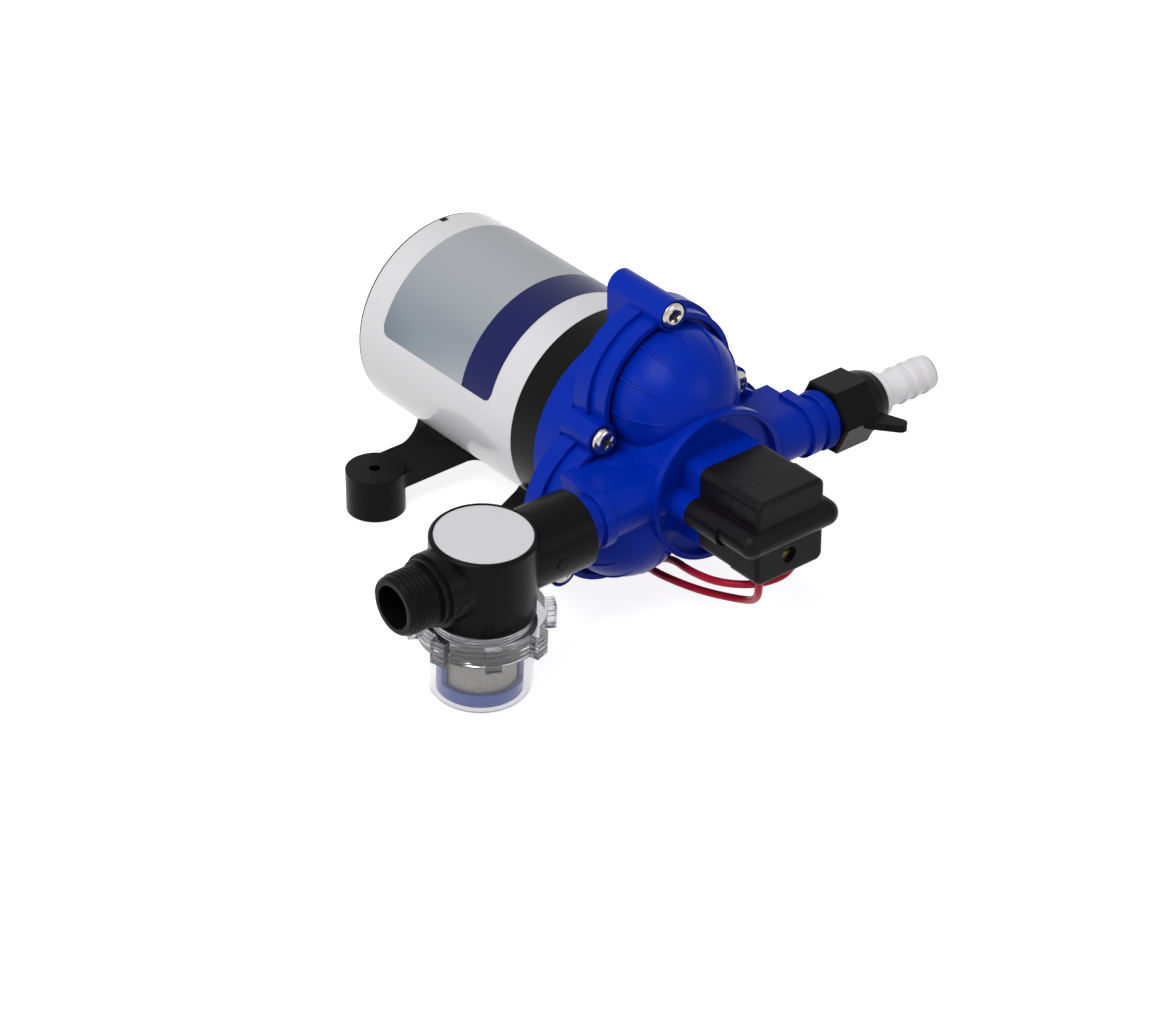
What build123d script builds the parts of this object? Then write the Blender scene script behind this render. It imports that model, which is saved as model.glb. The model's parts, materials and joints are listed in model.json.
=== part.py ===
from build123d import *
import math
import os

os.makedirs("parts", exist_ok=True)

# A 12 volt diaphragm water pump for a caravan, seen from the pressure switch end.
# X runs along the water line from inlet to outlet, Y runs along the motor with the
# switch at the negative end, and Z is up from the board that the four feet stand on.

# Overall sizes
axis_height = 50.5
foot_spacing_x = 106.0
motor_radius = 38.35
shell_length = 87.5
foot_setback = 27.5
foot_inset = 27.0
foot_spacing_y = shell_length - foot_setback
shell_rear_y = foot_spacing_y / 2 + foot_inset
bell_length = 13.4
drive_length = 11.3
flange_length = 7.2
rim_depth = 7.5
collar_reach = 27.5
port_reach = 16.9
pedestal_reach = 7.3
switch_body_length = 16.5
switch_cover_length = 13.8

# The three chambers lie on a circle round the motor axis, with a screw beyond each
# chamber and one in each notch between two of them.
chamber_count = 3
first_chamber_deg = 90.0
first_notch_deg = 30.0
chamber_reach = 26.0
drive_radius = 38.7
lobe_radius = 30.0
rim_radius = 28.3
dome_radius = 24.0
outer_reach = chamber_reach + lobe_radius
notch_reach = 34.25
boss_radius = 5.9
notch_boss_radius = 6.0

# Water line
thread_radius = 10.45
port_bore_radius = 6.2
barrel_radius = 9.25
flange_radius = 10.6
flange_start_x = 44.5
flange_width = 4.5
port_end_x = 66.0
strainer_x = -94.7
strainer_lean_deg = 3.25
inlet_end_x = -132.4
hose_end_x = 105.8

# Walls, clearances and cuts
shell_wall = 1.8
fit_gap = 0.1
running_gap = 0.05
loose_gap = 0.3
overrun = 1.0
edge_round = 0.8

# Places along the motor axis that follow from the lengths above
shell_front_y = shell_rear_y - shell_length
bell_front_y = shell_front_y - bell_length
drive_front_y = bell_front_y - drive_length
seam_front_y = drive_front_y - flange_length
rim_front_y = seam_front_y - rim_depth
collar_front_y = rim_front_y - collar_reach
port_y = rim_front_y - port_reach
pedestal_front_y = collar_front_y - pedestal_reach
seam_y = pedestal_front_y - switch_body_length
cover_front_y = seam_y - switch_cover_length

motor_axis = Axis((0, 0, axis_height), (0, 1, 0))
port_axis = Axis((0, port_y, axis_height), (1, 0, 0))
side_plane = Plane(origin=(0, 0, axis_height), x_dir=(0, 1, 0), z_dir=(1, 0, 0))
port_plane = Plane(origin=(0, port_y, axis_height), x_dir=(1, 0, 0), z_dir=(0, -1, 0))


def facing(y):
    """A plane square to the motor axis that looks forward, with its centre on the axis."""
    return Plane(origin=(0, y, axis_height), x_dir=(1, 0, 0), z_dir=(0, -1, 0))


def along_x(x):
    """A plane square to the water line, with its own x forward and its own y up."""
    return Plane(origin=(x, port_y, axis_height), x_dir=(0, -1, 0), z_dir=(-1, 0, 0))


def trefoil(radius, mode=Mode.ADD):
    with PolarLocations(chamber_reach, chamber_count, start_angle=first_chamber_deg):
        Circle(radius, mode=mode)


def notch_circles(radius, mode=Mode.ADD):
    with PolarLocations(notch_reach, chamber_count, start_angle=first_notch_deg):
        Circle(radius, mode=mode)


def outer_circles(radius, mode=Mode.ADD):
    with PolarLocations(outer_reach, chamber_count, start_angle=first_chamber_deg):
        Circle(radius, mode=mode)


def outer_bosses():
    outer_circles(boss_radius)
    with PolarLocations(outer_reach / 2, chamber_count, start_angle=first_chamber_deg):
        Rectangle(outer_reach, 2 * boss_radius)


def screw_holes(radius):
    notch_circles(radius)
    outer_circles(radius)


def section(points):
    """A closed face from the corner points of a profile."""
    Polygon(*points, align=None)


def save(piece, label):
    piece.part.label = label
    export_step(piece.part, f"parts/{label}.step")


# Motor: a steel can between a black rear cap and a black front bell.
shaft_radius = 4.0
cap_flange = 1.2
cap_spigot_depth = 4.0
key_width = 3.0
key_length = 2.2
shell_bore = motor_radius - shell_wall
spigot_radius = shell_bore - fit_gap

with BuildPart() as motor_shell:
    with BuildSketch(side_plane):
        section([
            (shell_front_y, shell_bore),
            (shell_rear_y, shell_bore),
            (shell_rear_y, motor_radius),
            (shell_front_y, motor_radius),
        ])
    revolve(axis=motor_axis)
    with BuildSketch(Plane.XY.offset(axis_height)):
        with Locations((0, shell_rear_y)):
            Rectangle(key_width, 2 * key_length)
    extrude(amount=motor_radius + overrun, mode=Mode.SUBTRACT)
save(motor_shell, "motor_shell")

bearing_radius = 11.0
bearing_width = 7.0
bearing_bore = shaft_radius + running_gap
pocket_wall = 3.0
rear_boss_radius = bearing_radius + pocket_wall
rear_boss_height = 3.2
rear_cap_y = shell_rear_y + cap_flange
rear_bearing_y = rear_cap_y + rear_boss_height - pocket_wall
cap_web = 2.4

with BuildPart() as motor_rear_cap:
    with BuildSketch(side_plane):
        section([
            (rear_cap_y + rear_boss_height, 0),
            (rear_cap_y + rear_boss_height, rear_boss_radius),
            (rear_cap_y, rear_boss_radius + rear_boss_height),
            (rear_cap_y, motor_radius - cap_flange / 2),
            (rear_cap_y - cap_flange / 2, motor_radius - fit_gap),
            (shell_rear_y, motor_radius - fit_gap),
            (shell_rear_y, spigot_radius),
            (shell_rear_y - cap_spigot_depth, spigot_radius),
            (shell_rear_y - cap_spigot_depth, spigot_radius - shell_wall),
            (rear_cap_y - cap_web, spigot_radius - shell_wall),
            (rear_cap_y - cap_web, rear_boss_radius),
            (rear_bearing_y - bearing_width, rear_boss_radius),
            (rear_bearing_y - bearing_width, bearing_radius),
            (rear_bearing_y, bearing_radius),
            (rear_bearing_y, 0),
        ])
    revolve(axis=motor_axis)
    # The key on the rim fills the notch in the shell.
    with BuildSketch(Plane.XY.offset(axis_height + spigot_radius - shell_wall / 2)):
        with Locations((0, shell_rear_y - key_length / 2 + fit_gap)):
            Rectangle(key_width - 2 * fit_gap, key_length)
    extrude(amount=shell_wall + shell_wall / 2)
save(motor_rear_cap, "motor_rear_cap")

bell_spigot_depth = 4.0
bell_web = 3.0
bell_bore = motor_radius - shell_wall
bell_pocket_front = shell_front_y - bearing_width
nose_radius = bearing_radius + pocket_wall
gland_radius = 1.5
gland_spacing = 13.0
gland_y = shell_front_y - bell_length / 2

with BuildPart() as motor_front_bell:
    with BuildSketch(side_plane):
        section([
            (shell_front_y + bell_spigot_depth, spigot_radius),
            (shell_front_y, spigot_radius),
            (shell_front_y, motor_radius),
            (bell_front_y, motor_radius),
            (bell_front_y, bell_bore),
            (shell_front_y - bell_web, bell_bore),
            (shell_front_y - bell_web, nose_radius),
            (bell_pocket_front, nose_radius),
            (bell_pocket_front, bearing_radius),
            (shell_front_y, bearing_radius),
            (shell_front_y, spigot_radius - shell_wall),
            (shell_front_y + bell_spigot_depth, spigot_radius - shell_wall),
        ])
    revolve(axis=motor_axis)
    with BuildSketch(Plane.XY):
        with Locations((0, gland_y)):
            with GridLocations(gland_spacing, 0, 2, 1):
                Circle(gland_radius)
    extrude(amount=axis_height - bell_bore / 2, mode=Mode.SUBTRACT)
save(motor_front_bell, "motor_front_bell")

with BuildPart() as shaft_bearings:
    for back_y in (rear_bearing_y, shell_front_y):
        with BuildSketch(facing(back_y)):
            Circle(bearing_radius)
            Circle(bearing_bore, mode=Mode.SUBTRACT)
        extrude(amount=bearing_width)
save(shaft_bearings, "shaft_bearings")

magnet_setback = 41.5
magnet_length = shell_length - magnet_setback
magnet_thickness = 5.2
magnet_gap_deg = 32.0
magnet_rear_y = shell_front_y + bell_spigot_depth + magnet_length + loose_gap * 10
magnet_outer = shell_bore - running_gap
magnet_inner = magnet_outer - magnet_thickness

with BuildPart() as motor_magnets:
    with BuildSketch(facing(magnet_rear_y)):
        Circle(magnet_outer)
        Circle(magnet_inner, mode=Mode.SUBTRACT)
        with Locations((0, 0)):
            Rectangle(2 * magnet_outer * math.sin(math.radians(magnet_gap_deg / 2)),
                      2 * motor_radius, mode=Mode.SUBTRACT)
    extrude(amount=magnet_length)
save(motor_magnets, "motor_magnets")

# Armature: a slotted core with two end windings and a commutator on the shaft.
air_gap = 0.6
core_radius = magnet_inner - air_gap
core_setback = 3.0
core_length = magnet_length - 2 * core_setback
core_rear_y = magnet_rear_y - core_setback
slot_count = 10
slot_depth = 9.0
slot_width = 5.0
slot_mouth = 2.0
slot_lip = 1.6

with BuildPart() as armature_core:
    with BuildSketch(facing(core_rear_y)):
        Circle(core_radius)
        Circle(shaft_radius, mode=Mode.SUBTRACT)
        with PolarLocations(core_radius - slot_lip - slot_depth / 2, slot_count):
            Rectangle(slot_depth, slot_width, mode=Mode.SUBTRACT)
        with PolarLocations(core_radius - slot_lip / 2, slot_count):
            Rectangle(2 * slot_lip, slot_mouth, mode=Mode.SUBTRACT)
    extrude(amount=core_length)
save(armature_core, "armature_core")

winding_length = 9.0
winding_inner = shaft_radius + 3 * shell_wall
winding_outer = core_radius - 2 * slot_lip
winding_round = 3.0

with BuildPart() as armature_windings:
    for back_y in (core_rear_y + winding_length, core_rear_y - core_length):
        with BuildSketch(facing(back_y)):
            Circle(winding_outer)
            Circle(winding_inner, mode=Mode.SUBTRACT)
        extrude(amount=winding_length)
    chamfer(armature_windings.edges().filter_by(GeomType.CIRCLE), length=winding_round)
save(armature_windings, "armature_windings")

commutator_radius = 10.5
commutator_length = 13.0
commutator_rear_y = core_rear_y + winding_length + loose_gap + commutator_length
bar_slot = 0.6

with BuildPart() as commutator:
    with BuildSketch(facing(commutator_rear_y)):
        Circle(commutator_radius)
        Circle(shaft_radius, mode=Mode.SUBTRACT)
        with PolarLocations(commutator_radius, slot_count):
            Rectangle(2 * bar_slot, bar_slot, mode=Mode.SUBTRACT)
    extrude(amount=commutator_length)
save(commutator, "commutator")

brush_width = 6.0
brush_depth = 8.0
brush_length = 14.0
brush_gap = 0.05
holder_wall = 1.2
holder_plate = 2.0
brush_middle_y = commutator_rear_y - commutator_length / 2
holder_front_y = brush_middle_y + brush_depth / 2 + holder_wall
holder_inner = commutator_radius + 3.0 * holder_wall

with BuildPart() as brush_holder:
    with BuildSketch(facing(holder_front_y + holder_plate)):
        Circle(spigot_radius - loose_gap)
        Circle(holder_inner, mode=Mode.SUBTRACT)
    extrude(amount=holder_plate)
    with BuildSketch(facing(holder_front_y)):
        for side in (-1, 1):
            with Locations((side * (holder_inner + brush_length / 2), 0)):
                Rectangle(brush_length, brush_width + 2 * (holder_wall + fit_gap))
                Rectangle(brush_length, brush_width + 2 * fit_gap, mode=Mode.SUBTRACT)
    extrude(amount=brush_depth + holder_wall)
save(brush_holder, "brush_holder")

with BuildPart() as carbon_brushes:
    with BuildSketch(facing(holder_front_y)):
        for side in (-1, 1):
            with Locations((side * (commutator_radius + brush_gap + brush_length / 2), 0)):
                Rectangle(brush_length, brush_width)
    extrude(amount=brush_depth + holder_wall / 2)
save(carbon_brushes, "carbon_brushes")

# Cam on the front of the shaft, in the bearing of the wobble plate.
hub_radius = 8.0
hub_length = 12.0
shoulder_radius = 9.6
shoulder_length = 4.5
weight_radius = 17.0
weight_thickness = 3.4
weight_rear_y = bell_pocket_front - 2 * loose_gap
hub_rear_y = weight_rear_y - weight_thickness - shoulder_length
hub_front_y = hub_rear_y - hub_length
shaft_end_gap = 1.0

with BuildPart() as motor_shaft:
    with BuildSketch(facing(rear_bearing_y - shaft_end_gap)):
        Circle(shaft_radius)
    extrude(amount=rear_bearing_y - shaft_end_gap - hub_front_y)
    chamfer(motor_shaft.edges().filter_by(GeomType.CIRCLE), length=edge_round / 2)
save(motor_shaft, "motor_shaft")

with BuildPart() as cam_hub:
    with BuildSketch(facing(weight_rear_y)):
        Circle(weight_radius)
        with Locations((0, weight_radius / 2 + hub_radius / 2)):
            Rectangle(2 * weight_radius, weight_radius, mode=Mode.SUBTRACT)
        Circle(hub_radius)
    extrude(amount=weight_thickness)
    with BuildSketch(facing(weight_rear_y)):
        Circle(shoulder_radius)
    extrude(amount=weight_thickness + shoulder_length)
    with BuildSketch(facing(hub_rear_y)):
        Circle(hub_radius)
    extrude(amount=hub_length)
    with BuildSketch(facing(weight_rear_y)):
        Circle(shaft_radius)
    extrude(amount=weight_rear_y - hub_front_y, mode=Mode.SUBTRACT)
save(cam_hub, "cam_hub")

# Wobble plate with its bearing: three pads push the diaphragm.
plate_bearing_radius = 14.0
plate_bearing_width = 7.0
plate_cup_wall = 2.6
pad_radius = 9.8
pad_length = 4.4
plate_web = 3.2
piston_screw_radius = 1.5
diaphragm_thickness = 1.2
bearing_rear_y = hub_rear_y - 2 * loose_gap
plate_bearing_front_y = bearing_rear_y - plate_bearing_width
pad_front_y = seam_front_y + diaphragm_thickness
web_rear_y = pad_front_y + pad_length + plate_web

with BuildPart() as wobble_bearing:
    with BuildSketch(facing(bearing_rear_y)):
        Circle(plate_bearing_radius)
        Circle(hub_radius + running_gap, mode=Mode.SUBTRACT)
    extrude(amount=plate_bearing_width)
save(wobble_bearing, "wobble_bearing")

with BuildPart() as wobble_plate:
    with BuildSketch(facing(bearing_rear_y)):
        Circle(plate_bearing_radius + plate_cup_wall)
    extrude(amount=bearing_rear_y - web_rear_y + plate_web)
    with BuildSketch(facing(web_rear_y)):
        trefoil(pad_radius)
        Circle(plate_bearing_radius + plate_cup_wall)
    extrude(amount=plate_web)
    with BuildSketch(facing(web_rear_y - plate_web)):
        trefoil(pad_radius)
    extrude(amount=pad_length)
    with BuildSketch(facing(bearing_rear_y)):
        Circle(plate_bearing_radius)
    extrude(amount=plate_bearing_width, mode=Mode.SUBTRACT)
    with BuildSketch(facing(plate_bearing_front_y)):
        Circle(hub_radius + 2 * holder_wall)
    extrude(amount=overrun + hub_length, mode=Mode.SUBTRACT)
    with BuildSketch(facing(pad_front_y)):
        trefoil(piston_screw_radius + running_gap)
    extrude(amount=-(pad_length + plate_web / 2), mode=Mode.SUBTRACT)
save(wobble_plate, "wobble_plate")

# Drive housing: a round body on the motor that opens into a three-lobed flange, with
# room for the plate to wobble and a seat for the diaphragm.
plate_room = 0.6
diaphragm_lobe = 26.6
screw_radius = 2.5
screw_depth = 24.0
screw_seat_y = rim_front_y - 0.5 * edge_round
screw_hole_radius = screw_radius + running_gap

with BuildPart() as drive_housing:
    with BuildSketch(facing(bell_front_y)):
        Circle(drive_radius)
    extrude(amount=drive_length)
    with BuildSketch(facing(drive_front_y)):
        trefoil(lobe_radius)
        notch_circles(notch_boss_radius)
    extrude(amount=flange_length)
    with BuildSketch(facing(bell_front_y)):
        outer_bosses()
    extrude(amount=drive_length + flange_length)
    with BuildSketch(facing(bell_front_y)):
        trefoil(pad_radius + plate_room)
        Circle(plate_bearing_radius + plate_cup_wall + plate_room)
        screw_holes(screw_hole_radius)
    extrude(amount=drive_length + flange_length, mode=Mode.SUBTRACT)
    with BuildSketch(facing(pad_front_y)):
        trefoil(diaphragm_lobe + fit_gap)
        notch_circles(notch_boss_radius, mode=Mode.SUBTRACT)
    extrude(amount=diaphragm_thickness, mode=Mode.SUBTRACT)
save(drive_housing, "drive_housing")

with BuildPart() as diaphragm:
    with BuildSketch(facing(pad_front_y)):
        trefoil(diaphragm_lobe)
        notch_circles(notch_boss_radius + fit_gap, mode=Mode.SUBTRACT)
        trefoil(piston_screw_radius + running_gap, mode=Mode.SUBTRACT)
    extrude(amount=diaphragm_thickness)
save(diaphragm, "diaphragm")

# Chamber plate and valve plate, one on the other in the back of the head.
chamber_plate_lobe = 22.2
chamber_plate_middle = 21.0
valve_plate_middle = 19.0
chamber_plate_thickness = 3.6
chamber_radius = 11.0
valve_plate_lobe = 20.2
valve_plate_thickness = 2.4
valve_plate_y = seam_front_y - chamber_plate_thickness
valve_front_y = valve_plate_y - valve_plate_thickness

with BuildPart() as chamber_plate:
    with BuildSketch(facing(seam_front_y)):
        trefoil(chamber_plate_lobe)
        Circle(chamber_plate_middle)
        trefoil(chamber_radius, mode=Mode.SUBTRACT)
    extrude(amount=chamber_plate_thickness)
save(chamber_plate, "chamber_plate")

cap_radius = 8.4
cap_thickness = 2.2
piston_head_radius = 2.9
piston_head_depth = 1.5
cap_rear_y = seam_front_y
cap_front_y = cap_rear_y - cap_thickness

with BuildPart() as piston_caps:
    with BuildSketch(facing(cap_rear_y)):
        trefoil(cap_radius)
    extrude(amount=cap_thickness)
    chamfer(piston_caps.faces().sort_by(Axis.Y)[0].edges(), length=edge_round)
    with BuildSketch(facing(cap_rear_y)):
        trefoil(piston_screw_radius + running_gap)
    extrude(amount=cap_thickness, mode=Mode.SUBTRACT)
    with BuildSketch(facing(cap_front_y)):
        trefoil(piston_head_radius + running_gap)
    extrude(amount=-piston_head_depth, mode=Mode.SUBTRACT)
save(piston_caps, "piston_caps")

with BuildPart() as piston_screws:
    with BuildSketch(facing(cap_front_y + piston_head_depth)):
        trefoil(piston_head_radius)
    extrude(amount=piston_head_depth)
    with BuildSketch(facing(cap_front_y + piston_head_depth)):
        trefoil(piston_screw_radius)
    extrude(amount=-(cap_thickness - piston_head_depth + diaphragm_thickness + pad_length))
save(piston_screws, "piston_screws")

flap_radius = 5.0
flap_thickness = 0.8
flap_stem = 1.4
inlet_hole_radius = 1.6
outlet_disc_radius = 8.0
outlet_hole_reach = 5.0

with BuildPart() as valve_plate:
    with BuildSketch(facing(valve_plate_y)):
        trefoil(valve_plate_lobe)
        Circle(valve_plate_middle)
        with PolarLocations(chamber_reach, chamber_count, start_angle=first_chamber_deg):
            with PolarLocations(flap_radius - inlet_hole_radius, chamber_count):
                Circle(inlet_hole_radius, mode=Mode.SUBTRACT)
        trefoil(flap_stem + running_gap, mode=Mode.SUBTRACT)
        with PolarLocations(outlet_hole_reach, 2 * chamber_count):
            Circle(inlet_hole_radius, mode=Mode.SUBTRACT)
        Circle(flap_stem + running_gap, mode=Mode.SUBTRACT)
    extrude(amount=valve_plate_thickness)
save(valve_plate, "valve_plate")

with BuildPart() as inlet_valves:
    with BuildSketch(facing(valve_plate_y + flap_thickness)):
        trefoil(flap_radius)
    extrude(amount=flap_thickness)
    with BuildSketch(facing(valve_plate_y)):
        trefoil(flap_stem)
    extrude(amount=valve_plate_thickness)
save(inlet_valves, "inlet_valves")

with BuildPart() as outlet_valve:
    with BuildSketch(facing(valve_front_y)):
        Circle(outlet_disc_radius)
    extrude(amount=flap_thickness)
    with BuildSketch(facing(valve_plate_y)):
        Circle(flap_stem)
    extrude(amount=valve_plate_thickness)
save(outlet_valve, "outlet_valve")

# The pressure switch stands on the head: its pedestal and its two black parts share one
# outline, a block with a round lobe on each side.
case_half_width = 14.75
case_top = 15.4
case_bottom = -16.8
case_corner = 3.0
case_lobe_x = 16.6
case_lobe_z = -0.5
case_lobe_radius = 5.4


def case_outline(grow):
    middle = (case_top + case_bottom) / 2
    with Locations((0, middle)):
        RectangleRounded(2 * (case_half_width + grow), case_top - case_bottom + 2 * grow,
                         case_corner + grow)
    with Locations((-case_lobe_x, case_lobe_z), (case_lobe_x, case_lobe_z)):
        Circle(case_lobe_radius + grow)


plunger_foot_radius = 7.4
plunger_foot = 2.0
plunger_radius = 3.0
plunger_stroke = 1.0
pressure_pocket_radius = 9.0
pressure_disc = 1.2
pocket_depth = 5.0

# Pump head: three ribbed domes round a flared neck, with the ports below its collar.
rim_wall = 2.0
channel_depth = 3.5
dome_rise = 5.0
boss_rise = 2.5
screw_head_radius = 5.0
screw_head_height = 3.0
seat_clearance = 0.2
neck_root_radius = 24.0
neck_waist_radius = 24.9
neck_top_radius = 28.4
collar_band = 2.6
collar_wall = 1.9
port_flat_reach = 18.0
flange_flat_reach = 9.2
neck_barrel_radius = 9.2
thread_start_x = 52.0
port_bore_depth = 44.0
gallery_radius = 15.0
gallery_depth = 2.2
port_chamfer = 0.9
rib_thickness = 1.0
rib_height = 0.7
rib_sweep_deg = 62.0
rib_step_deg = 30.0
rib_reach = 3
channel_floor_y = rim_front_y + channel_depth
dome_y = channel_floor_y - dome_rise
collar_floor_y = collar_front_y + collar_band
dome_plane = facing(dome_y)

with BuildPart() as pump_head:
    with BuildSketch(facing(seam_front_y)):
        trefoil(rim_radius)
        notch_circles(notch_boss_radius)
        outer_bosses()
    extrude(amount=rim_depth)
    with BuildSketch(facing(channel_floor_y)):
        trefoil(rim_radius - rim_wall)
        notch_circles(notch_boss_radius, mode=Mode.SUBTRACT)
    extrude(amount=channel_depth, mode=Mode.SUBTRACT)
    with BuildSketch(facing(channel_floor_y)):
        trefoil(dome_radius)
    extrude(amount=dome_rise)
    with Locations(dome_plane):
        with PolarLocations(chamber_reach, chamber_count, start_angle=first_chamber_deg):
            Sphere(dome_radius, arc_size1=0, align=(Align.CENTER, Align.CENTER, Align.MIN))
    # Each dome has thin ribs that run up from its foot and fade out before its crown.
    for lobe in range(chamber_count):
        lobe_deg = first_chamber_deg + lobe * 360 / chamber_count
        for step in range(-rib_reach, rib_reach + 1):
            rib_deg = lobe_deg + step * rib_step_deg
            lobe_x = chamber_reach * math.cos(math.radians(lobe_deg))
            lobe_z = chamber_reach * math.sin(math.radians(lobe_deg))
            rib_plane = Plane(
                origin=(lobe_x, dome_y, axis_height + lobe_z),
                x_dir=(math.cos(math.radians(rib_deg)), 0, math.sin(math.radians(rib_deg))),
                z_dir=(-math.sin(math.radians(rib_deg)), 0, math.cos(math.radians(rib_deg))),
            )
            fade = math.radians(rib_sweep_deg)
            with BuildSketch(rib_plane):
                with BuildLine():
                    foot = dome_radius + rib_height
                    crest = dome_radius + rib_height / 2
                    tail = dome_radius - rib_height / 2
                    sunk = dome_radius - rib_height
                    Polyline((sunk, dome_rise / 2), (foot, dome_rise / 2), (foot, 0))
                    ThreePointArc(
                        (foot, 0),
                        (crest * math.cos(fade / 2), -crest * math.sin(fade / 2)),
                        (tail * math.cos(fade), -tail * math.sin(fade)),
                    )
                    Line((tail * math.cos(fade), -tail * math.sin(fade)),
                         (sunk * math.cos(fade), -sunk * math.sin(fade)))
                    ThreePointArc(
                        (sunk * math.cos(fade), -sunk * math.sin(fade)),
                        (sunk * math.cos(fade / 2), -sunk * math.sin(fade / 2)),
                        (sunk, 0),
                    )
                    Line((sunk, 0), (sunk, dome_rise / 2))
                make_face()
            extrude(amount=rib_thickness / 2, both=True)
    with BuildSketch(facing(seam_front_y)):
        notch_circles(notch_boss_radius)
    extrude(amount=seam_front_y - screw_seat_y)
    with BuildSketch(facing(rim_front_y)):
        outer_circles(boss_radius)
    extrude(amount=boss_rise)
    # The neck flares forward to the collar.
    with BuildSketch(side_plane):
        with BuildLine():
            Polyline((channel_floor_y, 0), (channel_floor_y, neck_root_radius),
                     (dome_y, neck_root_radius))
            ThreePointArc(
                (dome_y, neck_root_radius),
                ((dome_y + collar_floor_y) / 2, neck_waist_radius),
                (collar_floor_y, neck_top_radius),
            )
            Polyline((collar_floor_y, neck_top_radius), (collar_front_y, neck_top_radius),
                     (collar_front_y, neck_top_radius - collar_wall),
                     (collar_floor_y, neck_top_radius - collar_wall),
                     (collar_floor_y, 0), (channel_floor_y, 0))
        make_face()
    revolve(axis=motor_axis)
    # Both ports, each with a barrel that is webbed back to the housing.
    with BuildSketch(along_x(0)):
        Circle(barrel_radius)
        with Locations((-port_flat_reach / 2, 0)):
            Rectangle(port_flat_reach, 2 * barrel_radius)
    extrude(amount=flange_start_x + flange_width / 2, both=True)
    for side in (-1, 1):
        with BuildSketch(along_x(side * flange_start_x)):
            Circle(flange_radius)
            with Locations((-flange_flat_reach / 2, 0)):
                Rectangle(flange_flat_reach, 2 * flange_radius)
        extrude(amount=-side * flange_width)
        with BuildSketch(along_x(side * flange_start_x)):
            Circle(neck_barrel_radius)
        extrude(amount=-side * (port_end_x - flange_start_x))
        with BuildSketch(along_x(side * thread_start_x)):
            Circle(thread_radius)
        extrude(amount=-side * (port_end_x - thread_start_x))
    with BuildSketch(facing(collar_floor_y)):
        case_outline(0)
    extrude(amount=collar_floor_y - pedestal_front_y)
    with BuildSketch(facing(pedestal_front_y + pressure_disc)):
        Circle(pressure_pocket_radius)
    extrude(amount=pressure_disc, mode=Mode.SUBTRACT)
    with BuildSketch(facing(pedestal_front_y + pocket_depth)):
        Circle(plunger_radius)
    extrude(amount=pocket_depth, mode=Mode.SUBTRACT)
    chamfer(
        pump_head.edges().filter_by(GeomType.CIRCLE).sort_by(Axis.X)[0], length=port_chamfer)
    chamfer(
        pump_head.edges().filter_by(GeomType.CIRCLE).sort_by(Axis.X)[-1], length=port_chamfer)
    for side in (-1, 1):
        with BuildSketch(along_x(side * port_end_x)):
            Circle(port_bore_radius)
        extrude(amount=side * port_bore_depth, mode=Mode.SUBTRACT)
    # Pockets behind for the two plates and the valves, and the screw holes with seats.
    with BuildSketch(facing(seam_front_y)):
        trefoil(chamber_plate_lobe + fit_gap)
        Circle(chamber_plate_middle + fit_gap)
    extrude(amount=chamber_plate_thickness, mode=Mode.SUBTRACT)
    with BuildSketch(facing(valve_plate_y)):
        trefoil(valve_plate_lobe + fit_gap)
        Circle(valve_plate_middle + fit_gap)
    extrude(amount=valve_plate_thickness, mode=Mode.SUBTRACT)
    with BuildSketch(facing(valve_front_y)):
        trefoil(gallery_radius)
        Circle(outlet_disc_radius + fit_gap)
    extrude(amount=gallery_depth, mode=Mode.SUBTRACT)
    with BuildSketch(facing(seam_front_y)):
        screw_holes(screw_hole_radius)
    extrude(amount=seam_front_y - screw_seat_y + screw_head_height, mode=Mode.SUBTRACT)
    with BuildSketch(facing(screw_seat_y)):
        screw_holes(screw_head_radius + seat_clearance)
    extrude(amount=screw_head_height + boss_rise, mode=Mode.SUBTRACT)
save(pump_head, "pump_head")

with BuildPart() as head_screws:
    with BuildSketch(facing(screw_seat_y)):
        screw_holes(screw_radius)
    extrude(amount=-screw_depth)
    with BuildSketch(facing(screw_seat_y)):
        screw_holes(screw_head_radius)
    extrude(amount=screw_head_height)
    fillet(head_screws.faces().filter_by(Plane.XZ).sort_by(Axis.Y)[0:6].edges(),
           radius=screw_head_height * 2 / 3)
save(head_screws, "head_screws")

# Strainer on the inlet, leaning a little: the body, the clear bowl screwed up under it,
# and the screen that stands in the bowl.
strainer_plane = Plane(
    origin=(strainer_x, port_y, axis_height),
    x_dir=(1, 0, 0),
    z_dir=(0, -math.sin(math.radians(strainer_lean_deg)),
           math.cos(math.radians(strainer_lean_deg))),
)
strainer_side = Plane(
    origin=strainer_plane.origin, x_dir=(1, 0, 0), z_dir=-strainer_plane.y_dir)
strainer_axis = Axis(strainer_plane.origin, strainer_plane.z_dir)
body_top = 13.9
body_radius = 18.6
label_radius = 17.0
label_rim = 0.5
body_bottom = -16.0
spigot_bottom = -26.0
bowl_thread_radius = 16.9
spigot_bore = 15.0
crown_wall = 3.0
inlet_hub_radius = 13.2
inlet_hub_end = 22.2
inlet_collar_radius = 12.0
inlet_collar_width = 2.6
inlet_bore_radius = 7.8
socket_radius = 14.1
socket_end_x = -56.1
washer_thickness = 1.6
washer_seat_x = -(port_end_x + washer_thickness)


def strainer_section(points):
    """A profile in the plane through the strainer's own axis, radius first."""
    Polygon(*points, align=None)


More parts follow.
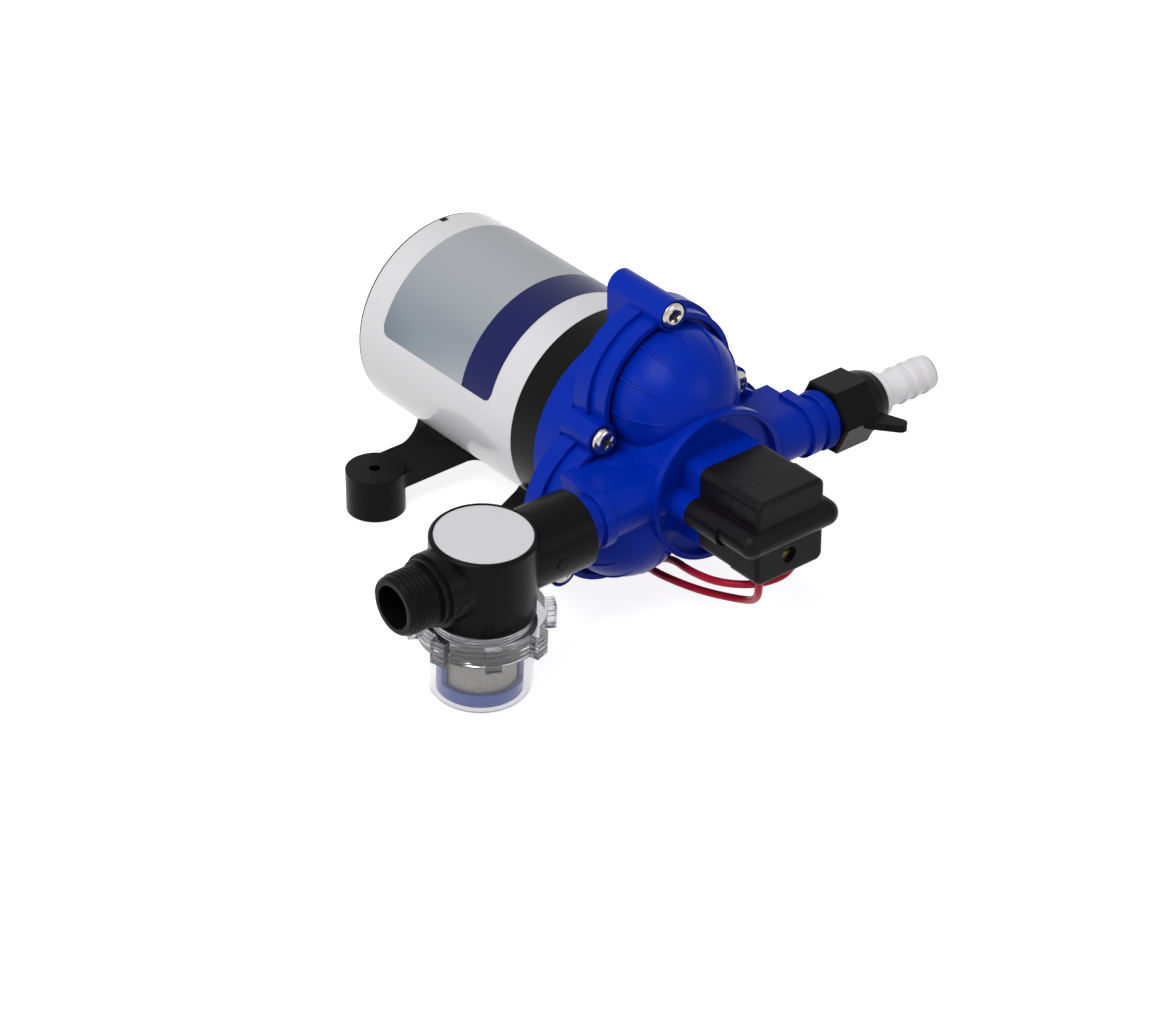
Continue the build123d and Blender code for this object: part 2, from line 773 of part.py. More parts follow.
with BuildPart() as strainer_body:
    with BuildSketch(strainer_side):
        strainer_section([
            (0, body_top - label_rim), (label_radius, body_top - label_rim),
            (label_radius, body_top), (body_radius - edge_round, body_top),
            (body_radius, body_top - edge_round), (body_radius, body_bottom),
            (bowl_thread_radius, body_bottom), (bowl_thread_radius, spigot_bottom),
            (0, spigot_bottom),
        ])
    revolve(axis=strainer_axis)
    with BuildSketch(along_x(strainer_x)):
        Circle(inlet_hub_radius)
    extrude(amount=inlet_hub_end)
    with BuildSketch(along_x(strainer_x - inlet_hub_end)):
        Circle(inlet_collar_radius)
    extrude(amount=inlet_collar_width)
    with BuildSketch(along_x(strainer_x)):
        Circle(thread_radius)
    extrude(amount=strainer_x - inlet_end_x)
    chamfer(strainer_body.edges().filter_by(GeomType.CIRCLE).sort_by(Axis.X)[0],
            length=edge_round)
    with BuildSketch(along_x(socket_end_x)):
        Circle(socket_radius)
    extrude(amount=socket_end_x - strainer_x)
    with BuildSketch(strainer_plane.offset(body_top)):
        Circle(body_radius)
    extrude(amount=crown_wall, mode=Mode.SUBTRACT)
    with BuildSketch(strainer_plane.offset(body_top - label_rim)):
        Circle(label_radius)
    extrude(amount=label_rim, mode=Mode.SUBTRACT)
    # Inside: the screen chamber, the inlet bore and the socket on the port thread.
    with BuildSketch(strainer_side):
        strainer_section([
            (0, body_top - crown_wall), (spigot_bore, body_top - crown_wall),
            (spigot_bore, spigot_bottom - overrun), (0, spigot_bottom - overrun),
        ])
    revolve(axis=strainer_axis, mode=Mode.SUBTRACT)
    with BuildSketch(along_x(strainer_x)):
        Circle(inlet_bore_radius)
    extrude(amount=strainer_x - inlet_end_x + overrun, mode=Mode.SUBTRACT)
    with BuildSketch(along_x(strainer_x)):
        Circle(inlet_bore_radius)
    extrude(amount=-(socket_end_x - strainer_x), mode=Mode.SUBTRACT)
    with BuildSketch(along_x(washer_seat_x)):
        Circle(thread_radius + fit_gap)
    extrude(amount=-(socket_end_x - washer_seat_x + overrun), mode=Mode.SUBTRACT)
save(strainer_body, "strainer_body")

with BuildPart() as strainer_label:
    with BuildSketch(strainer_plane.offset(body_top - label_rim)):
        Circle(label_radius - fit_gap)
    extrude(amount=label_rim / 2)
save(strainer_label, "strainer_label")

with BuildPart() as inlet_washer:
    with BuildSketch(along_x(-port_end_x)):
        Circle(thread_radius - fit_gap)
        Circle(inlet_bore_radius, mode=Mode.SUBTRACT)
    extrude(amount=washer_thickness - running_gap)
save(inlet_washer, "inlet_washer")

ring_radius = 22.2
ring_top = body_bottom - loose_gap
ring_bottom = -25.5
bowl_upper_radius = 19.0
bowl_lower_radius = 18.0
bowl_bottom = -49.4
bowl_wall = 1.7
bowl_corner = 4.0
seal_height = 1.5
ledge = spigot_bottom - seal_height - 2 * fit_gap
grip_count = 8
first_grip_deg = -28.5
grip_width = 5.6
grip_depth = 3.2

with BuildPart() as strainer_bowl:
    with BuildSketch(strainer_side):
        strainer_section([
            (0, bowl_bottom), (bowl_lower_radius, bowl_bottom),
            (bowl_upper_radius, ring_bottom), (ring_radius, ring_bottom),
            (ring_radius, ring_top), (bowl_thread_radius + fit_gap, ring_top),
            (bowl_thread_radius + fit_gap, ledge),
            (bowl_upper_radius - 2 * bowl_wall, ledge),
            (bowl_lower_radius - bowl_wall, bowl_bottom + bowl_wall),
            (0, bowl_bottom + bowl_wall),
        ])
    revolve(axis=strainer_axis)
    with BuildSketch(strainer_plane.offset(ring_bottom)):
        with PolarLocations(ring_radius, grip_count, start_angle=first_grip_deg):
            Rectangle(2 * grip_depth, grip_width)
    extrude(amount=ring_top - ring_bottom)
    fillet(strainer_bowl.edges().filter_by(GeomType.CIRCLE).sort_by(strainer_axis)[0],
           radius=bowl_corner)
save(strainer_bowl, "strainer_bowl")

with BuildPart() as bowl_seal:
    with BuildSketch(strainer_plane.offset(spigot_bottom - fit_gap)):
        Circle(bowl_thread_radius)
        Circle(spigot_bore + fit_gap, mode=Mode.SUBTRACT)
    extrude(amount=-seal_height)
save(bowl_seal, "bowl_seal")

cage_radius = 14.3
cage_bar = 1.6
cage_bar_width = 9.0
first_bar_deg = -24.5
cage_base = bowl_bottom + bowl_wall + loose_gap
cage_cup = 5.0
cage_ring = 3.0
cage_top = spigot_bottom + 2 * cage_ring
mesh_radius = 12.2
mesh_wall = 0.5

with BuildPart() as screen_cage:
    with BuildSketch(strainer_plane.offset(cage_base)):
        Circle(cage_radius)
    extrude(amount=cage_cup)
    with BuildSketch(strainer_plane.offset(cage_base + cage_cup)):
        Circle(cage_radius)
        Circle(cage_radius - cage_bar, mode=Mode.SUBTRACT)
        Rectangle(3 * cage_radius, cage_bar_width, rotation=first_bar_deg, mode=Mode.INTERSECT)
    extrude(amount=cage_top - cage_base - cage_cup)
    with BuildSketch(strainer_plane.offset(cage_top - cage_ring)):
        Circle(cage_radius)
    extrude(amount=cage_ring)
    with BuildSketch(strainer_plane.offset(cage_base + cage_bar)):
        Circle(cage_radius - cage_bar)
    extrude(amount=cage_top - cage_base, mode=Mode.SUBTRACT)
save(screen_cage, "screen_cage")

with BuildPart() as screen_mesh:
    with BuildSketch(strainer_plane.offset(cage_base + cage_bar)):
        Circle(mesh_radius)
        Circle(mesh_radius - mesh_wall, mode=Mode.SUBTRACT)
    extrude(amount=cage_top - cage_base - 2 * cage_bar)
    with BuildSketch(strainer_plane.offset(cage_base + cage_bar)):
        Circle(mesh_radius)
    extrude(amount=mesh_wall)
save(screen_mesh, "screen_mesh")

# Outlet: a union nut with two ears that draws a barbed hose tail onto the port.
nut_start_x = 56.7
nut_end_x = 72.3
nut_corner_radius = 13.8
nut_turn_deg = 56.4
cone_end_x = 80.5
cone_root_radius = 12.0
cone_tip_radius = 9.2
tail_radius = 6.2
tail_bore_radius = 4.0
tail_flange_radius = 9.8
tail_flange_width = 3.0
ear_thickness = 2.9
ear_root_radius = 4.2
ear_root_x = 69.6
ear_root_reach = 12.0
ear_tip_radius = 2.4
ear_tip_x = 74.8
ear_tip_reach = 21.4
tail_seat_x = port_end_x + washer_thickness
tail_flange_end_x = tail_seat_x + tail_flange_width

with BuildPart() as union_nut:
    with BuildSketch(along_x(nut_start_x)):
        RegularPolygon(nut_corner_radius, 6, rotation=60 - nut_turn_deg)
    extrude(amount=-(nut_end_x - nut_start_x))
    with BuildSketch(port_plane):
        section([
            (nut_end_x, 0), (nut_end_x, cone_root_radius),
            (nut_end_x + (cone_end_x - nut_end_x) / 2, cone_root_radius - edge_round),
            (cone_end_x - edge_round, cone_tip_radius + edge_round),
            (cone_end_x, cone_tip_radius), (cone_end_x, 0),
        ])
    revolve(axis=port_axis)
    # One flat ear stands out toward the front and sweeps to the hose.
    with BuildSketch(Plane.XY.offset(axis_height)):
        with Locations((ear_root_x, port_y - ear_root_reach)):
            Circle(ear_root_radius)
        with Locations((ear_tip_x, port_y - ear_tip_reach)):
            Circle(ear_tip_radius)
        make_hull()
    extrude(amount=ear_thickness / 2, both=True)
    with BuildSketch(port_plane):
        section([
            (nut_start_x - overrun, 0), (nut_start_x - overrun, thread_radius + fit_gap),
            (tail_flange_end_x, thread_radius + fit_gap), (tail_flange_end_x, tail_radius + fit_gap),
            (cone_end_x + overrun, tail_radius + fit_gap), (cone_end_x + overrun, 0),
        ])
    revolve(axis=port_axis, mode=Mode.SUBTRACT)
    chamfer(union_nut.faces().sort_by(Axis.X)[0].edges().sort_by(SortBy.LENGTH)[0:6],
            length=edge_round)
save(union_nut, "union_nut")

root_ring_radius = 8.5
root_ring_width = 2.4
barb_radius = 6.95
barb_core_radius = 6.35
barb_count = 3
barb_spacing = 5.4
barb_first_x = 91.4
barb_lip = 0.9

with BuildPart() as hose_tail:
    with BuildSketch(port_plane):
        with BuildLine():
            outline = [
                (tail_seat_x, tail_bore_radius), (tail_seat_x, tail_flange_radius),
                (tail_flange_end_x - fit_gap, tail_flange_radius),
                (tail_flange_end_x - fit_gap, tail_radius),
                (cone_end_x + loose_gap, tail_radius),
                (cone_end_x + loose_gap, root_ring_radius),
                (cone_end_x + loose_gap + root_ring_width, root_ring_radius),
                (cone_end_x + loose_gap + root_ring_width, barb_core_radius),
            ]
            for barb in range(barb_count):
                barb_x = barb_first_x + barb * barb_spacing
                outline += [
                    (barb_x, barb_core_radius), (barb_x, barb_radius),
                    (barb_x + barb_lip, barb_radius),
                    (barb_x + barb_spacing - barb_lip, barb_core_radius),
                ]
            outline += [
                (hose_end_x - 2 * barb_lip, barb_core_radius),
                (hose_end_x - barb_lip, barb_core_radius - barb_lip / 2),
                (hose_end_x, barb_core_radius - 3 * barb_lip / 2),
                (hose_end_x, tail_bore_radius)]
            Polyline(*outline, close=True)
        make_face()
    revolve(axis=port_axis)
save(hose_tail, "hose_tail")

with BuildPart() as tail_washer:
    with BuildSketch(along_x(port_end_x + running_gap)):
        Circle(tail_flange_radius)
        Circle(tail_bore_radius + tail_flange_width / 2, mode=Mode.SUBTRACT)
    extrude(amount=-(washer_thickness - 2 * running_gap))
save(tail_washer, "tail_washer")

# Switch: the rubber disc pushes the plunger against its spring and the microswitch.
with BuildPart() as pressure_diaphragm:
    with BuildSketch(facing(pedestal_front_y + pressure_disc)):
        Circle(pressure_pocket_radius - fit_gap)
    extrude(amount=pressure_disc)
save(pressure_diaphragm, "pressure_diaphragm")

guide_wall = 2.0
spring_room = 6.0
case_wall = 1.6
cover_lip = 0.3
case_middle = (case_top + case_bottom) / 2
inner_height = case_top - case_bottom - 2 * case_wall
inner_width = 2 * (case_half_width - case_wall)
guide_y = pedestal_front_y - plunger_foot - spring_room
foot_front_y = pedestal_front_y - running_gap - plunger_foot
plunger_front_y = seam_y + plunger_stroke / 2

with BuildPart() as switch_base:
    with BuildSketch(facing(pedestal_front_y)):
        case_outline(0)
    extrude(amount=switch_body_length)
    with BuildSketch(facing(pedestal_front_y)):
        Circle(pressure_pocket_radius - fit_gap)
    extrude(amount=plunger_foot + spring_room, mode=Mode.SUBTRACT)
    with BuildSketch(facing(guide_y)):
        Circle(plunger_radius + running_gap)
    extrude(amount=guide_wall, mode=Mode.SUBTRACT)
    with BuildSketch(facing(guide_y - guide_wall)):
        with Locations((0, case_middle)):
            Rectangle(inner_width, inner_height)
    extrude(amount=guide_y - guide_wall - seam_y, mode=Mode.SUBTRACT)
save(switch_base, "switch_base")

with BuildPart() as switch_plunger:
    with BuildSketch(facing(pedestal_front_y - running_gap)):
        Circle(plunger_foot_radius)
    extrude(amount=plunger_foot)
    with BuildSketch(facing(foot_front_y)):
        Circle(plunger_radius)
    extrude(amount=foot_front_y - plunger_front_y)
    chamfer(switch_plunger.faces().sort_by(Axis.Y)[0].edges(), length=edge_round / 2)
save(switch_plunger, "switch_plunger")

spring_radius = 5.2
spring_wire = 0.45
spring_turns = 3
spring_height = foot_front_y - guide_y - plunger_stroke - 2 * (spring_wire + running_gap)

with BuildPart() as plunger_spring:
    with BuildLine() as coil:
        Helix(spring_height / spring_turns, spring_height, spring_radius,
              center=(0, foot_front_y - spring_wire - running_gap, axis_height),
              direction=(0, -1, 0))
    with BuildSketch(Plane(coil.line @ 0, z_dir=coil.line % 0)):
        RegularPolygon(spring_wire, 6)
    sweep()
save(plunger_spring, "plunger_spring")

# Cover: rounded at the front, with a half-round ridge that wraps its middle.
cover_round = 1.6
cover_wall = 3.5
ridge_radius = 4.8
ridge_half_width = 21.1
ridge_reach = 3.4
ridge_rise = 0.4
adjuster_x = -0.5
adjuster_z = -9.2
adjuster_radius = 3.0
adjuster_length = 5.0
adjuster_recess = 2.6
adjuster_wall = 1.5
terminal_setback = 6.8
terminal_y = seam_y - terminal_setback
terminal_xs = (-7.5, 9.0)
lead_radius = 1.4
lead_clearance = 1.8
cover_top = case_top + cover_lip
cover_bottom = case_bottom - cover_lip
cover_half_width = case_half_width + cover_lip

with BuildPart() as cover_ridge:
    with BuildSketch(Plane.XY.offset(axis_height + ridge_rise - ridge_radius)):
        with Locations((0, (seam_y + cover_front_y - ridge_reach) / 2)):
            Rectangle(2 * ridge_half_width, seam_y - cover_front_y + ridge_reach)
    extrude(amount=2 * ridge_radius)
    fillet(cover_ridge.edges().filter_by(Axis.Z).group_by(Axis.Y)[0], radius=ridge_radius)
    fillet(cover_ridge.faces().filter_by(Plane.XY).edges().filter_by(
        lambda e: e.center().Y < seam_y - edge_round), radius=ridge_radius - running_gap)

with BuildPart() as switch_cover:
    with BuildSketch(facing(seam_y)):
        with Locations((0, case_middle)):
            RectangleRounded(2 * cover_half_width, cover_top - cover_bottom, case_corner)
    extrude(amount=switch_cover_length)
    fillet(switch_cover.faces().sort_by(Axis.Y)[0].edges(), radius=cover_round)
    add(cover_ridge.part)
    with BuildSketch(facing(seam_y)):
        with Locations((0, case_middle)):
            Rectangle(inner_width, inner_height)
    extrude(amount=switch_cover_length - cover_wall, mode=Mode.SUBTRACT)
    with BuildSketch(facing(cover_front_y + adjuster_length + adjuster_recess)):
        with Locations((adjuster_x, adjuster_z)):
            Circle(adjuster_radius + adjuster_wall)
    extrude(amount=adjuster_length)
    with BuildSketch(facing(cover_front_y + adjuster_length + adjuster_recess + overrun)):
        with Locations((adjuster_x, adjuster_z)):
            Circle(adjuster_radius + running_gap)
    extrude(amount=adjuster_length + adjuster_recess + 2 * overrun, mode=Mode.SUBTRACT)
    with BuildSketch(Plane.XY.offset(axis_height + cover_bottom - overrun)):
        for terminal_x in terminal_xs:
            with Locations((terminal_x, terminal_y)):
                Circle(lead_radius + fit_gap)
    extrude(amount=case_wall + cover_lip + 2 * overrun, mode=Mode.SUBTRACT)
save(switch_cover, "switch_cover")

with BuildPart() as adjusting_screw:
    with BuildSketch(facing(cover_front_y + adjuster_length + adjuster_recess)):
        with Locations((adjuster_x, adjuster_z)):
            Circle(adjuster_radius)
    extrude(amount=adjuster_length)
    with BuildSketch(facing(cover_front_y + adjuster_recess)):
        with Locations((adjuster_x, adjuster_z)):
            Rectangle(2 * adjuster_radius + overrun, edge_round)
    extrude(amount=-adjuster_recess, mode=Mode.SUBTRACT)
save(adjusting_screw, "adjusting_screw")

micro_height = 10.0
micro_length = 9.6
micro_low = adjuster_z + adjuster_radius + adjuster_wall + loose_gap
micro_half_width = 11.6
terminal_width = 4.0
terminal_thickness = 0.8
terminal_drop = 6.0
micro_rear_y = seam_y - loose_gap

with BuildPart() as microswitch:
    with BuildSketch(facing(micro_rear_y)):
        with Locations((0, micro_low + micro_height / 2)):
            Rectangle(2 * micro_half_width, micro_height)
    extrude(amount=micro_length)
    chamfer(microswitch.edges().filter_by(Axis.Y), length=edge_round)
save(microswitch, "microswitch")

with BuildPart() as switch_terminals:
    with BuildSketch(Plane.XY.offset(axis_height + micro_low)):
        for terminal_x in terminal_xs:
            with Locations((terminal_x, terminal_y)):
                Rectangle(terminal_width, terminal_thickness)
    extrude(amount=-terminal_drop)
save(switch_terminals, "switch_terminals")

# Base: four feet on arms that ramp up to the motor, joined by a narrow cradle under it.
foot_radius = 10.8
foot_hole_radius = 2.15
cradle_wall = 2.85
arm_depth = 6.2
arm_step = 0.8
arm_half_width = 8.5
arm_blend = 6.0
ramp_width = 12.3
ramp_start_x = 42.4
ramp_knee_x = 30.5
ramp_knee_rise = 6.3
shoulder_x = 34.0
shoulder_hollow = 1.6
ramp_hollow = 0.5
arm_root_x = 26.8
arm_root_rise = 3.0
cradle_half_width = 13.0
cradle_blend = 5.0
lead_slot_half_width = 9.0
lead_slot_length = 9.0
arm_underside = axis_height - motor_radius - cradle_wall
arm_top = arm_underside + arm_depth
foot_height = arm_top + arm_step
arm_inner_y = foot_spacing_y / 2 - arm_half_width
arm_root_z = axis_height - math.sqrt(motor_radius ** 2 - arm_root_x ** 2) + arm_root_rise
ramp_knee_z = arm_top + ramp_knee_rise

# Each arm's whole width curves up to the motor, and a ramp stands on its inner part.
with BuildPart() as arm_tops:
    with BuildSketch(Plane.XZ.offset(-arm_inner_y)):
        with BuildLine():
            ThreePointArc(
                (-shoulder_x, arm_top),
                (-(shoulder_x + arm_root_x) / 2 + shoulder_hollow,
                 (arm_top + arm_root_z) / 2 - shoulder_hollow),
                (-arm_root_x, arm_root_z),
            )
            Polyline((-arm_root_x, arm_root_z), (0, arm_root_z), (0, arm_underside),
                     (-shoulder_x, arm_underside), (-shoulder_x, arm_top))
        make_face()
    extrude(amount=-2 * arm_half_width)
    with BuildSketch(Plane.XZ.offset(-arm_inner_y)):
        with BuildLine():
            ThreePointArc(
                (-ramp_knee_x, ramp_knee_z),
                (-(ramp_knee_x + arm_root_x) / 2 + ramp_hollow,
                 (ramp_knee_z + arm_root_z) / 2 - ramp_hollow),
                (-arm_root_x, arm_root_z),
            )
            Polyline((-arm_root_x, arm_root_z), (0, arm_root_z), (0, arm_underside),
                     (-ramp_start_x, arm_underside), (-ramp_start_x, arm_top),
                     (-ramp_knee_x, ramp_knee_z))
        make_face()
    extrude(amount=-ramp_width)
    mirror(about=Plane.YZ)
    mirror(about=Plane.XZ)

with BuildPart() as base_frame:
    with BuildSketch(Plane.XY.offset(arm_underside)) as plan:
        with GridLocations(foot_spacing_x, foot_spacing_y, 2, 2):
            Circle(foot_radius)
        with GridLocations(0, foot_spacing_y, 1, 2):
            Rectangle(foot_spacing_x, 2 * arm_half_width)
        Rectangle(2 * cradle_half_width, foot_spacing_y + 2 * arm_half_width)
        fillet(plan.vertices().filter_by(lambda v: abs(v.X) > arm_root_x), radius=arm_blend)
        fillet(plan.vertices().filter_by(
            lambda v: abs(v.X) < arm_root_x and abs(v.Y) < foot_spacing_y / 2),
            radius=cradle_blend)
    extrude(amount=arm_top - arm_underside)
    # The arms' tops, the feet, the saddle for the motor and the way for the leads.
    add(arm_tops.part)
    with BuildSketch(Plane.XY):
        with GridLocations(foot_spacing_x, foot_spacing_y, 2, 2):
            Circle(foot_radius)
    extrude(amount=foot_height)
    with BuildSketch(facing(foot_spacing_y)):
        Circle(motor_radius)
    extrude(amount=2 * foot_spacing_y, mode=Mode.SUBTRACT)
    with BuildSketch(Plane.XY):
        with Locations((0, -foot_spacing_y / 2 - arm_half_width)):
            Rectangle(2 * lead_slot_half_width, 2 * lead_slot_length)
        with GridLocations(foot_spacing_x, foot_spacing_y, 2, 2):
            Circle(foot_hole_radius)
    extrude(amount=axis_height, mode=Mode.SUBTRACT)
save(base_frame, "base_frame")

# Two leads from the motor, under the head, and up into the switch. Their places are x,
# the way forward from the motor's gland, and the height against the motor axis.
collar_way = neck_top_radius + lead_clearance
terminal_way = terminal_y - gland_y
lead_routes = {
    "lead_one": [
        (-6.5, 0, -35.0), (-6.5, 0, -43.5), (-8.0, -18.8, -43.8), (-9.5, -32.8, -43.2),
        (-12.0, -45.8, -40.0), (-8.0, -60.8, -40.0), (-1.5, -75.3, -39.0),
        (-4.0, -85.8, -32.6), (terminal_xs[0], terminal_way, -23.0),
        (terminal_xs[0], terminal_way, -14.5),
    ],
    "lead_two": [
        (6.5, 0, -35.0), (6.5, 0, -43.5), (2.0, -18.3, -44.0), (-4.0, -32.3, -42.8),
        (-8.6, -46.3, -collar_way - 3.4), (-12.5, -60.8, -collar_way),
        (-11.5, -75.3, -28.0), (-2.0, -85.8, -27.2), (terminal_xs[1], terminal_way, -23.0),
        (terminal_xs[1], terminal_way, -14.5),
    ],
}


def corner_radii(points):
    """The largest even arcs that the runs of a route leave room for."""
    radii = []
    for before, corner, after in zip(points, points[1:], points[2:]):
        arriving = corner - before
        leaving = after - corner
        half_turn = math.radians(arriving.get_angle(leaving)) / 2
        radii.append(0.45 * min(arriving.length, leaving.length) / math.tan(half_turn))
    return radii


def lead(route, label):
    points = [Vector(x, gland_y + way, axis_height + z) for x, way, z in route]
    radii = corner_radii(points)
    with BuildPart() as tube:
        with BuildLine() as path:
            FilletPolyline(*points, radius=radii)
        with BuildSketch(Plane(path.line @ 0, z_dir=path.line % 0)):
            Circle(lead_radius)
        sweep()
    expected = math.pi * lead_radius ** 2 * path.wire().length
    print(label, "length", round(path.wire().length, 1), "volume share",
          round(tube.part.volume / expected, 4), "radii", [round(r, 1) for r in radii])
    save(tube, label)


for label, route in lead_routes.items():
    lead(route, label)
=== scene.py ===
import bpy
import bmesh
import json
import math
from mathutils import Matrix, Vector


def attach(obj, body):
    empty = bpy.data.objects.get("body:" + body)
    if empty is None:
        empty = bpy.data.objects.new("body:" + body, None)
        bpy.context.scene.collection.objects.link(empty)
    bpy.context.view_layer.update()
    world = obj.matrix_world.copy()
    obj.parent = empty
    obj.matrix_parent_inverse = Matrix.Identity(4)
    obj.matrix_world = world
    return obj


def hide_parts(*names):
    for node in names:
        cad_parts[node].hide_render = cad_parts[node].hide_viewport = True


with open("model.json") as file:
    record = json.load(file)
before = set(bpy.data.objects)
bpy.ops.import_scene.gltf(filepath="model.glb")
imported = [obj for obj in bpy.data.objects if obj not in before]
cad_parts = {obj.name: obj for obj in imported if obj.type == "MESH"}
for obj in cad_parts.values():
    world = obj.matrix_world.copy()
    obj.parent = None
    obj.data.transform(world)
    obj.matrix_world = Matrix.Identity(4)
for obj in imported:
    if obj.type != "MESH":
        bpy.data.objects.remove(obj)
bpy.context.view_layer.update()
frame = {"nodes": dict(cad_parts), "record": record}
nodes = frame["nodes"]
print("frame loaded", len(nodes))

axisHeight = 0.0505
portY = -0.0868
strainerX = -0.0947


# Node groups that several finishes share.
def group(name, inputs, outputs, build):
    tree = bpy.data.node_groups.new(name, "ShaderNodeTree")
    for label, kind, value in inputs:
        socket = tree.interface.new_socket(name=label, in_out="INPUT", socket_type=kind)
        socket.default_value = value
    for label, kind in outputs:
        tree.interface.new_socket(name=label, in_out="OUTPUT", socket_type=kind)
    start = tree.nodes.new("NodeGroupInput")
    end = tree.nodes.new("NodeGroupOutput")
    build(tree, start, end)
    return tree


def link(tree, a, b):
    tree.links.new(a, b)


def calc(tree, operation, a, b=None, c=None):
    node = tree.nodes.new("ShaderNodeMath")
    node.operation = operation
    for index, value in enumerate((a, b, c)):
        if value is None:
            continue
        if isinstance(value, (int, float)):
            node.inputs[index].default_value = value
        else:
            link(tree, value, node.inputs[index])
    return node.outputs[0]


def noise(tree, vector, scale, detail):
    node = tree.nodes.new("ShaderNodeTexNoise")
    link(tree, vector, node.inputs["Vector"])
    if isinstance(scale, (int, float)):
        node.inputs["Scale"].default_value = scale
    else:
        link(tree, scale, node.inputs["Scale"])
    node.inputs["Detail"].default_value = detail
    return node.outputs["Fac"]


def tinted(tree, color, factor, low, high):
    shade = tree.nodes.new("ShaderNodeMapRange")
    link(tree, factor, shade.inputs["Value"])
    shade.inputs["From Min"].default_value = 0.3
    shade.inputs["From Max"].default_value = 0.7
    shade.inputs["To Min"].default_value = low
    shade.inputs["To Max"].default_value = high
    tint = tree.nodes.new("ShaderNodeMix")
    tint.data_type = "RGBA"
    tint.blend_type = "MULTIPLY"
    tint.inputs[0].default_value = 1.0
    link(tree, color, tint.inputs[6])
    link(tree, shade.outputs["Result"], tint.inputs[7])
    return tint.outputs[2]


def shareOf(tree, value, start, end):
    share = tree.nodes.new("ShaderNodeMapRange")
    share.inputs["From Min"].default_value = start
    share.inputs["From Max"].default_value = end
    link(tree, value, share.inputs["Value"])
    return share.outputs["Result"]


def mixed(tree, factor, first, second):
    mix = tree.nodes.new("ShaderNodeMix")
    mix.data_type = "RGBA"
    link(tree, factor, mix.inputs[0])
    for index, color in ((6, first), (7, second)):
        if isinstance(color, tuple):
            mix.inputs[index].default_value = color
        else:
            link(tree, color, mix.inputs[index])
    return mix.outputs[2]


def bumped(tree, height, strength, distance):
    bump = tree.nodes.new("ShaderNodeBump")
    if isinstance(strength, (int, float)):
        bump.inputs["Strength"].default_value = strength
    else:
        link(tree, strength, bump.inputs["Strength"])
    bump.inputs["Distance"].default_value = distance
    link(tree, height, bump.inputs["Height"])
    return bump.outputs["Normal"]


mouldedLook = {"waves": 60.0, "waveHeight": 16.0, "rubs": 340.0, "rubbedAbove": 0.69,
               "tint": (0.93, 1.07), "depth": 0.0001}


def buildMoulded(tree, start, end):
    # Fine moulding grain, slow waves of the wall, a little colour drift, rubbed specks and
    # softened edges that catch the light.
    coords = tree.nodes.new("ShaderNodeTexCoord").outputs["Object"]
    grain = noise(tree, coords, start.outputs["Grain scale"], 4.0)
    wave = noise(tree, coords, mouldedLook["waves"], 2.0)
    slow = calc(tree, "MULTIPLY", calc(tree, "SUBTRACT", wave, 0.5), start.outputs["Drift"])
    height = calc(tree, "MULTIPLY_ADD", slow, mouldedLook["waveHeight"], grain)
    rubs = noise(tree, coords, mouldedLook["rubs"], 6.0)
    rubbed = calc(tree, "GREATER_THAN", rubs, mouldedLook["rubbedAbove"])
    speck = calc(tree, "MULTIPLY", rubbed, start.outputs["Drift"])
    rough = calc(tree, "ADD", calc(tree, "ADD", slow, speck), start.outputs["Roughness"])
    shade = calc(tree, "MULTIPLY_ADD", slow, 2.0, 0.5)
    link(tree, tinted(tree, start.outputs["Color"], shade, *mouldedLook["tint"]),
         end.inputs["Color"])
    link(tree, rough, end.inputs["Roughness"])
    edge = tree.nodes.new("ShaderNodeBevel")
    edge.samples = 4
    link(tree, start.outputs["Edge radius"], edge.inputs["Radius"])
    bump = bumped(tree, height, start.outputs["Bump"], mouldedLook["depth"])
    link(tree, edge.outputs["Normal"], bump.node.inputs["Normal"])
    link(tree, bump, end.inputs["Normal"])


turnedLook = {"rings": 14000.0, "wear": 420.0, "tint": (0.82, 1.12), "depth": 0.00005}


def buildTurned(tree, start, end):
    # Fine rings left by the lathe round the motor's axis, with a few darker scratches.
    coords = tree.nodes.new("ShaderNodeTexCoord").outputs["Object"]
    split = tree.nodes.new("ShaderNodeSeparateXYZ")
    link(tree, coords, split.inputs[0])
    rings = calc(tree, "SINE", calc(tree, "MULTIPLY", split.outputs["Y"], turnedLook["rings"]))
    wear = noise(tree, coords, turnedLook["wear"], 5.0)
    height = calc(tree, "MULTIPLY_ADD", wear, 1.5, rings)
    link(tree, tinted(tree, start.outputs["Color"], wear, *turnedLook["tint"]),
         end.inputs["Color"])
    link(tree, calc(tree, "MULTIPLY_ADD", wear, 0.2, start.outputs["Roughness"]),
         end.inputs["Roughness"])
    link(tree, bumped(tree, height, start.outputs["Bump"], turnedLook["depth"]),
         end.inputs["Normal"])


wovenLook = {"radius": 0.0122, "bump": 0.7, "depth": 0.0001}


